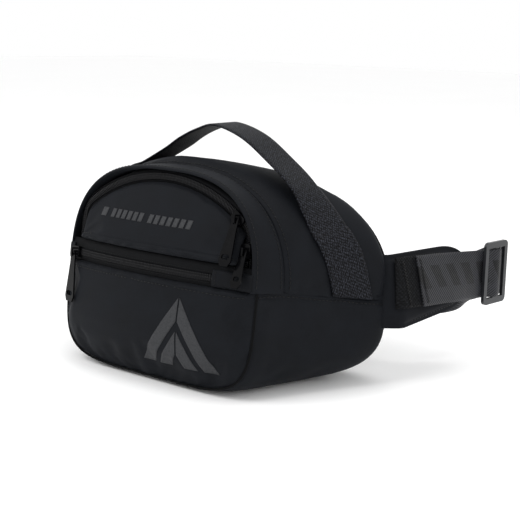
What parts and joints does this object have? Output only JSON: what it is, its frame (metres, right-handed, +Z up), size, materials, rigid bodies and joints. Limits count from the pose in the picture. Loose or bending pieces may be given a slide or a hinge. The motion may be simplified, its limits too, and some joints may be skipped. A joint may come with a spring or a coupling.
{
  "type": "waist bag",
  "caption": "Waist bag with an arched main zip, a zipped front pocket, a top webbing handle, padded hip wings and an adjustable belt closed by a side-release buckle.",
  "frame": {"origin": "on the surface the bag stands on, in its centre plane, at the middle of the flat bottom", "axes": "+Z up, front pocket faces -Y, the wearer's back is at +Y, +X is the bag's right side seen from the front"},
  "size_m": [0.3255, 0.2588, 0.187],
  "materials": {
    "shell_fabric": "matte softshell, near black",
    "zip_tape": "fine woven tape",
    "zip_coil": "glossy nylon coil",
    "lining": "thin plain weave",
    "mesh_fabric": "spacer mesh",
    "foam": "closed-cell foam",
    "handle_webbing": "coarse speckled webbing",
    "belt_webbing": "twill webbing with a sheen",
    "elastic": "ribbed elastic",
    "buckle_plastic": "satin moulded acetal",
    "adjuster_metal": "satin dark coating",
    "zip_metal": "black lacquered zinc"
  },
  "bodies": {
    "bag": {"front_pocket_panel": "shell_fabric", "pocket_zip_tape_lower": "zip_tape", "pocket_zip_tape_upper": "zip_tape", "pocket_zip_coil": "zip_coil", "pocket_zip_end_tab": "shell_fabric", "pocket_zip_left_tab": "shell_fabric", "front_upper_panel": "shell_fabric", "main_zip_coil": "zip_coil", "main_zip_tape_front": "zip_tape", "main_zip_tape_rear": "zip_tape", "hood_band": "shell_fabric", "upper_gusset": "shell_fabric", "lower_gusset": "shell_fabric", "back_panel": "mesh_fabric", "main_lining_lower": "lining", "main_lining_upper": "lining", "pocket_divider": "lining", "back_foam": "foam", "handle_leg_left": "handle_webbing", "handle_leg_right": "handle_webbing"},
    "pocket_slider": {"pocket_slider": "zip_metal"},
    "pocket_puller": {"pocket_puller": "zip_metal"},
    "main_upper_slider": {"main_upper_slider": "zip_metal"},
    "main_upper_bail": {"main_upper_bail": "zip_metal"},
    "main_upper_puller": {"main_upper_puller": "zip_metal"},
    "main_lower_slider": {"main_lower_slider": "zip_metal"},
    "main_lower_puller": {"main_lower_puller": "zip_metal"},
    "handle": {"handle_loop": "handle_webbing"},
    "belt": {"wing_left": "shell_fabric", "wing_right": "shell_fabric", "wing_patch_left": "handle_webbing", "wing_patch_right": "handle_webbing", "belt_webbing_left": "belt_webbing", "belt_webbing_right": "belt_webbing", "belt_return_right": "belt_webbing", "belt_return_left": "belt_webbing", "buckle_socket": "buckle_plastic", "strap_keeper": "elastic"},
    "buckle_plug": {"buckle_plug": "buckle_plastic", "plug_webbing": "belt_webbing"},
    "triglide": {"triglide": "adjuster_metal", "belt_turn_right": "belt_webbing"}
  },
  "joints": [
    {"name": "pocket_slider_run", "type": "hinge", "parent": "bag", "child": "pocket_slider", "pos_m": [0, 0.29226, 0.04302], "axis": [0, 0.1219, 0.9925], "range_deg": [0, 21.4]},
    {"name": "pocket_puller_swing", "type": "hinge", "parent": "pocket_slider", "child": "pocket_puller", "pos_m": [-0.08079, -0.05513, 0.08567], "axis": [-0.9744, 0.2232, -0.0274], "range_deg": [0, 140]},
    {"name": "main_upper_slider_run", "type": "hinge", "parent": "bag", "child": "main_upper_slider", "pos_m": [0, -0.05282, 0.02242], "axis": [0, -0.9925, 0.1219], "range_deg": [0, 68]},
    {"name": "main_upper_puller_swivel", "type": "hinge", "parent": "main_upper_slider", "child": "main_upper_bail", "pos_m": [0.07232, -0.04561, 0.12794], "axis": [0, -0.9925, 0.1219], "range_deg": [-68, 0]},
    {"name": "main_upper_puller_swing", "type": "hinge", "parent": "main_upper_bail", "child": "main_upper_puller", "pos_m": [0.07232, -0.04561, 0.12794], "axis": [-1, 0, 0], "range_deg": [0, 140]},
    {"name": "main_lower_slider_run", "type": "slide", "parent": "bag", "child": "main_lower_slider", "axis": [0, -0.1219, -0.9925], "range_m": [0, 0.004]},
    {"name": "main_lower_puller_swing", "type": "hinge", "parent": "main_lower_slider", "child": "main_lower_puller", "pos_m": [0.08209, -0.04825, 0.10641], "axis": [-1, 0, 0], "range_deg": [0, 140]},
    {"name": "handle_swing", "type": "hinge", "parent": "bag", "child": "handle", "pos_m": [0, 0.014, 0.121], "axis": [1, 0, 0], "range_deg": [-9, 10]},
    {"name": "belt_swing", "type": "hinge", "parent": "bag", "child": "belt", "pos_m": [0, 0.062, 0.071], "axis": [1, 0, 0], "range_deg": [-12, 40]},
    {"name": "buckle_release", "type": "slide", "parent": "belt", "child": "buckle_plug", "axis": [-1, 0, 0], "range_m": [0, 0.024]},
    {"name": "triglide_slide", "type": "slide", "parent": "belt", "child": "triglide", "axis": [-0.1019, -0.9948, 0], "range_m": [0, 0.01]}
  ],
  "couplings": [
    {"joint": "main_upper_puller_swivel", "follows": "main_upper_slider_run", "ratio": -1}
  ]
}
